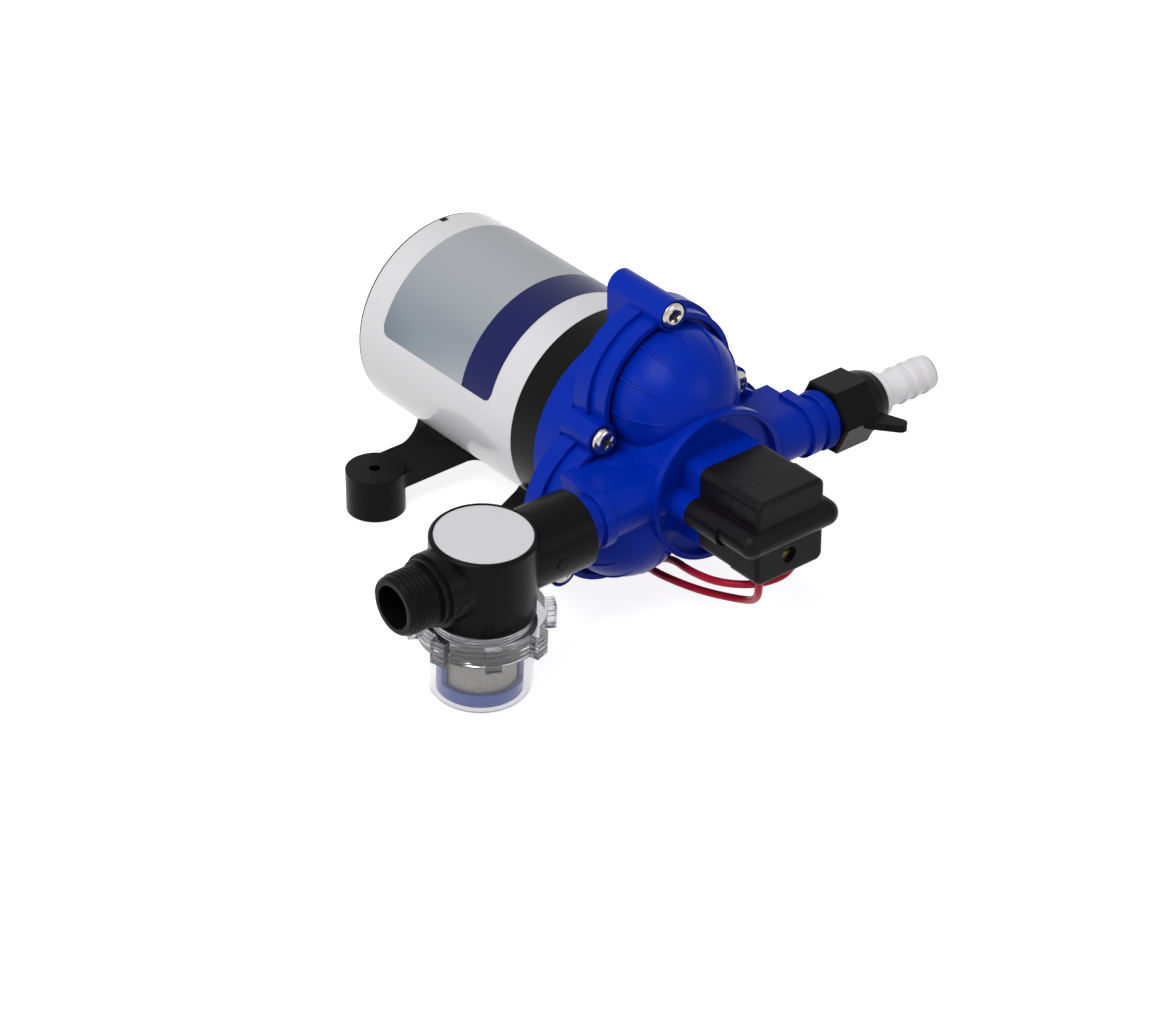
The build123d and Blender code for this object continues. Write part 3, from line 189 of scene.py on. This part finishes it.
def buildWoven(tree, start, end):
    # A fine wire weave round the strainer's own axis.
    coords = tree.nodes.new("ShaderNodeTexCoord").outputs["Object"]
    split = tree.nodes.new("ShaderNodeSeparateXYZ")
    link(tree, coords, split.inputs[0])
    east = calc(tree, "SUBTRACT", split.outputs["X"], strainerX)
    north = calc(tree, "SUBTRACT", split.outputs["Y"], portY)
    arc = calc(tree, "MULTIPLY", calc(tree, "ARCTAN2", north, east), wovenLook["radius"])
    turns = calc(tree, "MULTIPLY", start.outputs["Wires per metre"], 2 * math.pi)
    warp = calc(tree, "SINE", calc(tree, "MULTIPLY", arc, turns))
    weft = calc(tree, "SINE", calc(tree, "MULTIPLY", split.outputs["Z"], turns))
    both = calc(tree, "MAXIMUM", warp, weft)
    shade = calc(tree, "MULTIPLY_ADD", both, 0.5, 0.5)
    link(tree, mixed(tree, shade, start.outputs["Gap"], start.outputs["Wire"]),
         end.inputs["Color"])
    link(tree, bumped(tree, both, wovenLook["bump"], wovenLook["depth"]), end.inputs["Normal"])


surfaceInputs = [
    ("Color", "NodeSocketColor", (0.5, 0.5, 0.5, 1)), ("Roughness", "NodeSocketFloat", 0.4),
    ("Grain scale", "NodeSocketFloat", 3000.0), ("Bump", "NodeSocketFloat", 0.2),
    ("Drift", "NodeSocketFloat", 0.1), ("Edge radius", "NodeSocketFloat", 0.0004)]
surfaceOutputs = [("Color", "NodeSocketColor"), ("Roughness", "NodeSocketFloat"),
                  ("Normal", "NodeSocketVector")]
moulded = group("moulded", surfaceInputs, surfaceOutputs, buildMoulded)
turned = group("turned", surfaceInputs, surfaceOutputs, buildTurned)
woven = group("woven",
              [("Wire", "NodeSocketColor", (0.5, 0.48, 0.45, 1)),
               ("Gap", "NodeSocketColor", (0.1, 0.1, 0.1, 1)),
               ("Wires per metre", "NodeSocketFloat", 1600.0)],
              [("Color", "NodeSocketColor"), ("Normal", "NodeSocketVector")], buildWoven)


def material(name, color, rough=0.4, grain=3000.0, bump=0.2, finish=moulded, drift=0.1,
             edge=0.0004, **extra):
    made = bpy.data.materials.new(name)
    made.use_nodes = True
    tree = made.node_tree
    shader = tree.nodes["Principled BSDF"]
    surface = tree.nodes.new("ShaderNodeGroup")
    surface.node_tree = finish
    surface.inputs["Color"].default_value = (*color, 1)
    surface.inputs["Roughness"].default_value = rough
    surface.inputs["Grain scale"].default_value = grain
    surface.inputs["Bump"].default_value = bump
    surface.inputs["Drift"].default_value = drift
    surface.inputs["Edge radius"].default_value = edge
    link(tree, surface.outputs["Color"], shader.inputs["Base Color"])
    link(tree, surface.outputs["Roughness"], shader.inputs["Roughness"])
    link(tree, surface.outputs["Normal"], shader.inputs["Normal"])
    for socket, value in extra.items():
        shader.inputs[socket.replace("_", " ")].default_value = value
    return made


materials = {
    "blue_plastic": material("bluePlastic", (0.0002, 0.0225, 0.385), 0.29, 2600, 0.16, edge=0.0005,
                             Specular_IOR_Level=0.08),
    "white_paint": material("whitePaint", (0.69, 0.687, 0.70), 0.3, 1500, 0.03, drift=0.015,
                            edge=0.0002, Coat_Weight=0.5, Coat_Roughness=0.04,
                            Specular_IOR_Level=0.3),
    "black_paint": material("blackPaint", (0.0035, 0.0033, 0.0035), 0.28, 2000, 0.1, drift=0.05,
                            Specular_IOR_Level=0.08),
    "bearing_steel": material("bearingSteel", (0.55, 0.56, 0.58), 0.25, 3000, 0.25, turned,
                              Metallic=1.0),
    "magnet": material("magnet", (0.05, 0.05, 0.055), 0.6),
    "core_steel": material("coreSteel", (0.3, 0.31, 0.33), 0.4, 3000, 0.6, turned,
                           Metallic=1.0),
    "copper_wire": material("copperWire", (0.6, 0.25, 0.1), 0.3, 3000, 0.8, turned,
                            Metallic=1.0),
    "dark_plastic": material("darkPlastic", (0.03, 0.03, 0.033), 0.45),
    "carbon": material("carbon", (0.02, 0.02, 0.02), 0.7),
    "rubber": material("rubber", (0.012, 0.012, 0.012), 0.6),
    "white_plastic": material("whitePlastic", (0.86, 0.85, 0.87), 0.42, 2500, 0.12, drift=0.04,
                              Subsurface_Weight=0.2, Subsurface_Scale=0.002),
    "stainless": material("stainless", (0.46, 0.43, 0.40), 0.16, 1800, 0.12, edge=0.0002,
                          Metallic=1.0),
    "switch_plastic": material("switchPlastic", (0.0075, 0.0065, 0.0075), 0.31, 3500, 0.25,
                               edge=0.0007, Specular_IOR_Level=0.08),
    "brass": material("brass", (0.42, 0.31, 0.15), 0.3, 3000, 0.3, turned, Metallic=1.0),
    "black_plastic": material("blackPlastic", (0.0040, 0.0036, 0.0040), 0.29, 3000, 0.22,
                              edge=0.0006, Specular_IOR_Level=0.07),
    "label": material("labelWhite", (0.65, 0.65, 0.66), 0.35, 2000, 0.04, drift=0.02,
                      Specular_IOR_Level=0.25),
    "cage_plastic": material("cagePlastic", (0.075, 0.125, 0.44), 0.3,
                             Transmission_Weight=0.25),
    "red_wire": material("redWire", (0.52, 0.009, 0.04), 0.3, 2500, 0.08, drift=0.03,
                         Specular_IOR_Level=0.15),
}


clearBowl = {"ringFrom": axisHeight - 0.0252, "threadPitch": 0.0021, "threadBump": 0.55,
             "threadDepth": 0.0003, "rough": 0.04, "ringRough": 0.05, "ringHaze": 0.06,
             "smoke": (0.5, 0.5, 0.52, 1), "smokeDensity": 85.0}


def clearPlastic():
    # Clear below; the ring above is hazed by the lines of its inner thread, and thick parts
    # are greyer than thin ones.
    made = material("clearPlastic", (0.95, 0.95, 0.96), clearBowl["rough"], 900, 0.02,
                    drift=0.02, Transmission_Weight=1.0, IOR=1.36)
    tree = made.node_tree
    shader = tree.nodes["Principled BSDF"]
    surface = next(n for n in tree.nodes if n.type == "GROUP")
    coords = tree.nodes.new("ShaderNodeTexCoord").outputs["Object"]
    split = tree.nodes.new("ShaderNodeSeparateXYZ")
    link(tree, coords, split.inputs[0])
    height = split.outputs["Z"]
    lines = calc(tree, "SINE",
                 calc(tree, "MULTIPLY", height, 2 * math.pi / clearBowl["threadPitch"]))
    above = calc(tree, "GREATER_THAN", height, clearBowl["ringFrom"])
    bump = bumped(tree, calc(tree, "MULTIPLY", lines, above), clearBowl["threadBump"],
                  clearBowl["threadDepth"])
    link(tree, surface.outputs["Normal"], bump.node.inputs["Normal"])
    link(tree, bump, shader.inputs["Normal"])
    link(tree, calc(tree, "MULTIPLY_ADD", above, clearBowl["ringRough"], clearBowl["rough"]),
         shader.inputs["Roughness"])
    link(tree, calc(tree, "MULTIPLY_ADD", above, -clearBowl["ringHaze"], 1.0),
         shader.inputs["Transmission Weight"])
    smoke = tree.nodes.new("ShaderNodeVolumeAbsorption")
    smoke.inputs["Color"].default_value = clearBowl["smoke"]
    smoke.inputs["Density"].default_value = clearBowl["smokeDensity"]
    link(tree, smoke.outputs["Volume"], tree.nodes["Material Output"].inputs["Volume"])
    return made


screenWire = {"wire": (0.52, 0.495, 0.46, 1), "gap": (0.10, 0.095, 0.09, 1), "perMetre": 1050.0}


def meshMetal():
    made = bpy.data.materials.new("screenWire")
    made.use_nodes = True
    tree = made.node_tree
    shader = tree.nodes["Principled BSDF"]
    weave = tree.nodes.new("ShaderNodeGroup")
    weave.node_tree = woven
    weave.inputs["Wire"].default_value = screenWire["wire"]
    weave.inputs["Gap"].default_value = screenWire["gap"]
    weave.inputs["Wires per metre"].default_value = screenWire["perMetre"]
    link(tree, weave.outputs["Color"], shader.inputs["Base Color"])
    link(tree, weave.outputs["Normal"], shader.inputs["Normal"])
    shader.inputs["Metallic"].default_value = 0.3
    shader.inputs["Roughness"].default_value = 0.5
    return made


materials["clear_plastic"] = clearPlastic()
slotOf = {s["node"]: s["material_slot"] for s in frame["record"]["subparts"]}


def smooth(obj, angle=32):
    mesh = obj.data
    for polygon in mesh.polygons:
        polygon.use_smooth = True
    mesh.set_sharp_from_angle(angle=math.radians(angle))


for name, obj in nodes.items():
    obj.data.materials.clear()
    obj.data.materials.append(materials[slotOf[name]])
    smooth(obj)
nodes["screen_mesh"].data.materials[0] = meshMetal()
print("materials set")


def meshObject(name, build, finish, body):
    mesh = bpy.data.meshes.new(name)
    bm = bmesh.new()
    build(bm)
    bmesh.ops.recalc_face_normals(bm, faces=bm.faces)
    bm.to_mesh(mesh)
    bm.free()
    obj = bpy.data.objects.new(name, mesh)
    bpy.context.scene.collection.objects.link(obj)
    obj.data.materials.append(finish)
    smooth(obj, 35)
    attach(obj, body)
    return obj


def gridFaces(bm, rows):
    made = [[bm.verts.new(p) for p in row] for row in rows]
    count = len(made[0])
    for a, b in zip(made, made[1:]):
        for i in range(count - 1):
            bm.faces.new((a[i], a[i + 1], b[i + 1], b[i]))


def onMotor(angle, y, radius):
    turn = math.radians(angle)
    return Vector((radius * math.cos(turn), y, axisHeight + radius * math.sin(turn)))


# The motor's bare label: a grey panel with painted light on it (lighter toward the top, a painted
# highlight low beside the band) and a navy band at its front.
motorLabel = {"rear": 0.0449, "panelFront": -0.0014, "bandFront": -0.0174, "low": 166.0,
              "high": 20.0, "columns": 96, "rows": 72, "radius": 0.03835,
              "lift": 0.00012, "corner": 0.0035,
              # The low grey is painted shade, the top grey painted light, the pale grey a painted
              # highlight.
              "shadedLowGrey": (0.17, 0.215, 0.26, 1), "litTopGrey": (0.40, 0.415, 0.44, 1),
              "highlightPaleGrey": (0.45, 0.47, 0.50, 1), "navy": (0.005, 0.008, 0.085, 1)}


def labelMaterial():
    made = material("motorLabel", (0.3, 0.36, 0.42), 0.34, 1800, 0.03, drift=0.02,
                    Specular_IOR_Level=0.12, Coat_Weight=0.1, Coat_Roughness=0.1)
    tree = made.node_tree
    surface = next(n for n in tree.nodes if n.type == "GROUP")
    coords = tree.nodes.new("ShaderNodeTexCoord")
    split = tree.nodes.new("ShaderNodeSeparateXYZ")
    link(tree, coords.outputs["Object"], split.inputs[0])
    # Painted light: the grey is painted lighter toward the top as if lit from above, and a pale
    # painted highlight runs low down beside the band.
    up = shareOf(tree, split.outputs["Z"], axisHeight + 0.012, axisHeight + 0.038)
    low = shareOf(tree, split.outputs["Z"], axisHeight + 0.024, axisHeight + 0.009)
    forward = shareOf(tree, split.outputs["Y"], motorLabel["rear"], motorLabel["panelFront"])
    grey = mixed(tree, up, motorLabel["shadedLowGrey"], motorLabel["litTopGrey"])
    highlightShare = calc(tree, "MULTIPLY", low, forward)
    panel = mixed(tree, highlightShare, grey, motorLabel["highlightPaleGrey"])
    band = calc(tree, "LESS_THAN", split.outputs["Y"], motorLabel["panelFront"])
    link(tree, mixed(tree, band, panel, motorLabel["navy"]), surface.inputs["Color"])
    return made


def buildLabel(bm):
    columns, rows = motorLabel["columns"], motorLabel["rows"]
    radius = motorLabel["radius"] + motorLabel["lift"]
    corner = motorLabel["corner"]
    span = math.radians(motorLabel["low"] - motorLabel["high"]) * radius
    length = motorLabel["rear"] - motorLabel["bandFront"]
    grid = []
    for r in range(rows + 1):
        y = motorLabel["rear"] - length * r / rows
        fromEnd = min(motorLabel["rear"] - y, y - motorLabel["bandFront"])
        inset = 0.0
        if fromEnd < corner:
            k = corner - fromEnd
            inset = corner - math.sqrt(max(corner ** 2 - k * k, 0))
        row = []
        for c in range(columns + 1):
            s = inset + (span - 2 * inset) * c / columns
            row.append(onMotor(motorLabel["low"] - math.degrees(s / radius), y, radius))
        grid.append(row)
    gridFaces(bm, grid)


meshObject("motorLabel", buildLabel, labelMaterial(), "pump")
print("label done")

# Screws: the plain heads get their cross recesses, cut once and kept as a mesh; the recess walls
# are painted dark as painted shade.
screws = {"outerCircle": 0.056, "notchCircle": 0.03425, "halfArm": 0.0027,
          "armWidth": 0.0014, "depth": 0.0018, "mouthShare": 1.25,
          "floorShare": 0.45, "mouthRise": 0.001, "reach": 0.006,
          "turns": (12.0, 40.0, 70.0, 25.0, 55.0, 5.0)}


def screwPlaces():
    places = []
    for circle, first in ((screws["outerCircle"], 90), (screws["notchCircle"], 30)):
        for k in range(3):
            turn = math.radians(first + 120 * k)
            places.append((circle * math.cos(turn), axisHeight + circle * math.sin(turn)))
    return places


def crossCutter(bm, x, y, z, turn):
    half, width, depth = screws["halfArm"], screws["armWidth"] / 2, screws["depth"]
    outline = [(half, -width), (half, width), (width, width), (width, half), (-width, half),
               (-width, width), (-half, width), (-half, -width), (-width, -width),
               (-width, -half), (width, -half), (width, -width)]
    rings = []
    for share, level in ((screws["mouthShare"], -screws["mouthRise"]), (1.0, 0.0),
                         (screws["floorShare"], depth)):
        ring = []
        for u, v in outline:
            u, v = u * share, v * share
            ring.append(bm.verts.new((x + u * math.cos(turn) - v * math.sin(turn), y + level,
                                      z + u * math.sin(turn) + v * math.cos(turn))))
        rings.append(ring)
    for low, high in zip(rings, rings[1:]):
        for i in range(12):
            j = (i + 1) % 12
            bm.faces.new((low[i], low[j], high[j], high[i]))
    bm.faces.new(rings[0])
    bm.faces.new(rings[-1][::-1])


def crossScrews():
    source = nodes["head_screws"]
    frontOf = {}
    for v in source.data.vertices:
        for index, (x, z) in enumerate(screwPlaces()):
            if math.hypot(v.co.x - x, v.co.z - z) < screws["reach"]:
                frontOf[index] = min(frontOf.get(index, 1.0), v.co.y)
    cutterMesh = bpy.data.meshes.new("crossCutter")
    # The cutter's dark colour passes to the recess walls: painted shade inside the cross.
    cutterMesh.materials.append(material("screwRecessShade", (0.035, 0.032, 0.03), 0.45, 1800, 0.2,
                                         Metallic=0.6))
    bm = bmesh.new()
    for index, (x, z) in enumerate(screwPlaces()):
        crossCutter(bm, x, frontOf[index], z, math.radians(screws["turns"][index]))
    bmesh.ops.recalc_face_normals(bm, faces=bm.faces)
    bm.to_mesh(cutterMesh)
    bm.free()
    cutter = bpy.data.objects.new("crossCutter", cutterMesh)
    bpy.context.scene.collection.objects.link(cutter)
    screw = bpy.data.objects.new("crossScrews", source.data.copy())
    bpy.context.scene.collection.objects.link(screw)
    cut = screw.modifiers.new("recess", "BOOLEAN")
    cut.operation = "DIFFERENCE"
    cut.solver = "EXACT"
    cut.material_mode = "TRANSFER"
    cut.object = cutter
    bpy.context.view_layer.update()
    graph = bpy.context.evaluated_depsgraph_get()
    baked = bpy.data.meshes.new_from_object(screw.evaluated_get(graph))
    screw.modifiers.clear()
    screw.data = baked
    bpy.data.objects.remove(cutter)
    smooth(screw, 32)
    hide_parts("head_screws")
    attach(screw, "pump")
    print("screw faces", len(baked.polygons))


crossScrews()


# Thread ridges that show beside the nut and at the inlet.
def thread(name, finish, body, slot, startX, endX, rootRadius, crest, pitch):
    turns = abs(endX - startX) / pitch
    steps = int(turns * 48)
    profile = [(-0.48, 0.0), (-0.16, 1.0), (0.16, 1.0), (0.48, 0.0)]
    along = pitch if endX > startX else -pitch

    def build(bm):
        rows = []
        for i in range(steps + 1):
            share = i / steps
            turn = 2 * math.pi * turns * share
            fade = min(1.0, share * turns * 2.5, (1 - share) * turns * 2.5)
            x = startX + (endX - startX) * share
            row = []
            for shift, out in profile:
                r = rootRadius - 0.0001 + (crest * out * fade + 0.0001 * out)
                row.append((x + shift * along, portY + r * math.cos(turn),
                            axisHeight + r * math.sin(turn)))
            rows.append(row)
        gridFaces(bm, rows)

    return meshObject(name, build, finish, body)


inletThread = {"startX": -0.1312, "endX": -0.1203, "rootRadius": 0.01045, "crest": 0.00055,
               "pitch": 0.001814}
portThread = {"startX": 0.0523, "endX": 0.0562, "rootRadius": 0.01045, "crest": 0.00045,
              "pitch": 0.001300}
thread("inletThread", materials["black_plastic"], "strainer", "black_plastic", **inletThread)
thread("outletPortThread", materials["blue_plastic"], "pump", "blue_plastic", **portThread)

# Two round mould marks stand a little proud of the strainer's barrels.
mouldMarks = {"inlet": (-0.1122, -172.0, 0.0132), "socket": (-0.0716, -174.0, 0.0141),
              "radius": 0.0024, "groove": 0.0007, "lift": 0.00025}


def markOn(place):
    centreX, centreTurn, barrel = place
    centreAngle = math.radians(centreTurn)

    def build(bm):
        rings = []
        sides = 40
        radius, groove = mouldMarks["radius"], mouldMarks["groove"]
        levels = ((radius - groove, 1.0), (radius - 0.6 * groove, 0.2),
                  (radius - 0.3 * groove, 1.2), (radius, 1.0), (radius + 0.0001, -0.6))
        for out, lift in levels:
            ring = []
            for i in range(sides):
                turn = 2 * math.pi * i / sides
                x = centreX + out * math.cos(turn)
                angle = centreAngle + out * math.sin(turn) / barrel
                r = barrel + mouldMarks["lift"] * lift
                ring.append(bm.verts.new((x, portY + r * math.cos(angle),
                                          axisHeight + r * math.sin(angle))))
            rings.append(ring)
        for a, b in zip(rings, rings[1:]):
            for i in range(sides):
                j = (i + 1) % sides
                bm.faces.new((a[i], a[j], b[j], b[i]))
        r = barrel + mouldMarks["lift"]
        centre = bm.verts.new((centreX, portY + r * math.cos(centreAngle),
                               axisHeight + r * math.sin(centreAngle)))
        for i in range(sides):
            bm.faces.new((centre, rings[0][i], rings[0][(i + 1) % sides]))

    return build


for label in ("inlet", "socket"):
    meshObject("mouldMark_" + label, markOn(mouldMarks[label]), materials["black_plastic"],
               "strainer")
print("threads and marks done")

# The two red leads, on the same points as the source's route.
leads = {
    "radius": 0.0014,
    "lead_one": [
        (-6.5, -37.2, -35.0), (-6.5, -37.2, -43.5), (-8.0, -56.0, -43.8), (-9.5, -70.0, -43.2),
        (-12.0, -83.0, -40.0), (-8.0, -98.0, -40.0), (-1.5, -112.5, -39.0),
        (-4.0, -123.0, -32.6), (-7.5, -128.0, -23.0), (-7.5, -128.0, -14.5)],
    "lead_two": [
        (6.5, -37.2, -35.0), (6.5, -37.2, -43.5), (2.0, -55.5, -44.0), (-4.0, -69.5, -42.8),
        (-8.6, -83.5, -33.6), (-12.5, -98.0, -30.2), (-11.5, -112.5, -28.0),
        (-2.0, -123.0, -27.2), (9.0, -128.0, -23.0), (9.0, -128.0, -14.5)],
}
for name in ("lead_one", "lead_two"):
    points = leads[name]
    curve = bpy.data.curves.new(name + "Visible", "CURVE")
    curve.dimensions = "3D"
    curve.bevel_depth = leads["radius"]
    curve.bevel_resolution = 5
    curve.resolution_u = 16
    spline = curve.splines.new("NURBS")
    spline.points.add(len(points) - 1)
    for point, (x, y, z) in zip(spline.points, points):
        point.co = (x / 1000, y / 1000, axisHeight + z / 1000, 1)
    spline.order_u = 3
    spline.use_endpoint_u = True
    lead = bpy.data.objects.new(name + "Visible", curve)
    bpy.context.scene.collection.objects.link(lead)
    curve.materials.append(materials["red_wire"])
    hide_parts(name)
    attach(lead, "pump")
print("leads done")

# Stage: a white floor and world for the camera, soft lamps for the pump.
stage = {"floorHalf": 3.0, "floorDrop": 0.0005, "worldLight": 0.29, "floorGlow": 0.84,
         "floorGrey": (0.6, 0.6, 0.6, 1), "aim": (0, -0.03, 0.05),
         "lamps": [("keySoft", (-0.62, -0.18, 1.05), (0.75, 0.75), 9.2),
                   ("leftSoft", (-1.2, 0.25, 0.45), (0.7, 0.5), 2.4),
                   ("frontSoft", (0.35, -1.3, 0.6), (0.6, 0.6), 2.4)]}


def seenMask(tree):
    path = tree.nodes.new("ShaderNodeLightPath")
    seen = calc(tree, "MAXIMUM", path.outputs["Is Camera Ray"],
                path.outputs["Is Transmission Ray"])
    return calc(tree, "MAXIMUM", seen, path.outputs["Is Glossy Ray"])


def floor():
    half, drop = stage["floorHalf"], stage["floorDrop"]
    mesh = bpy.data.meshes.new("floor")
    mesh.from_pydata([(-half, -half, -drop), (half, -half, -drop), (half, half, -drop),
                      (-half, half, -drop)], [], [(0, 1, 2, 3)])
    obj = bpy.data.objects.new("floor", mesh)
    bpy.context.scene.collection.objects.link(obj)
    made = bpy.data.materials.new("floorWhite")
    made.use_nodes = True
    tree = made.node_tree
    shader = tree.nodes["Principled BSDF"]
    shader.inputs["Base Color"].default_value = stage["floorGrey"]
    shader.inputs["Roughness"].default_value = 0.9
    shader.inputs["Emission Color"].default_value = (1, 1, 1, 1)
    link(tree, calc(tree, "MULTIPLY", seenMask(tree), stage["floorGlow"]),
         shader.inputs["Emission Strength"])
    mesh.materials.append(made)


floor()
scene = bpy.context.scene
scene.view_settings.view_transform = "Standard"
world = bpy.data.worlds.new("studio")
scene.world = world
world.use_nodes = True
worldTree = world.node_tree
background = worldTree.nodes["Background"]
background.inputs["Color"].default_value = (1, 1, 1, 1)
link(worldTree, calc(worldTree, "MULTIPLY_ADD", seenMask(worldTree), 1.0 - stage["worldLight"],
                      stage["worldLight"]), background.inputs["Strength"])

for name, place, size, power in stage["lamps"]:
    data = bpy.data.lights.new(name, "AREA")
    data.shape = "RECTANGLE"
    data.size, data.size_y = size
    data.energy = power
    lamp = bpy.data.objects.new(name, data)
    lamp.location = place
    aim = Vector(stage["aim"]) - Vector(place)
    lamp.rotation_euler = aim.to_track_quat("-Z", "Y").to_euler()
    scene.collection.objects.link(lamp)

# The camera stands where the photograph's did.
photoCamera = {"lens": 138.2, "sensor": 36.0, "place": (-0.8579, -1.0775, 0.8759), "azimuth": 39.16,
               "elevation": 32.76}
camera = bpy.data.cameras.new("photoCamera")
camera.lens = photoCamera["lens"]
camera.sensor_width = photoCamera["sensor"]
view = bpy.data.objects.new("photoCamera", camera)
scene.collection.objects.link(view)
azimuth = math.radians(photoCamera["azimuth"])
elevation = math.radians(photoCamera["elevation"])
back = Vector((-math.sin(azimuth) * math.cos(elevation),
               -math.cos(azimuth) * math.cos(elevation), math.sin(elevation)))
right = Vector((math.cos(azimuth), -math.sin(azimuth), 0))
up = back.cross(right)
rotation = Matrix((right, up, back)).transposed()
view.matrix_world = Matrix.Translation(Vector(photoCamera["place"])) @ rotation.to_4x4()
scene.camera = view

print("stage done")
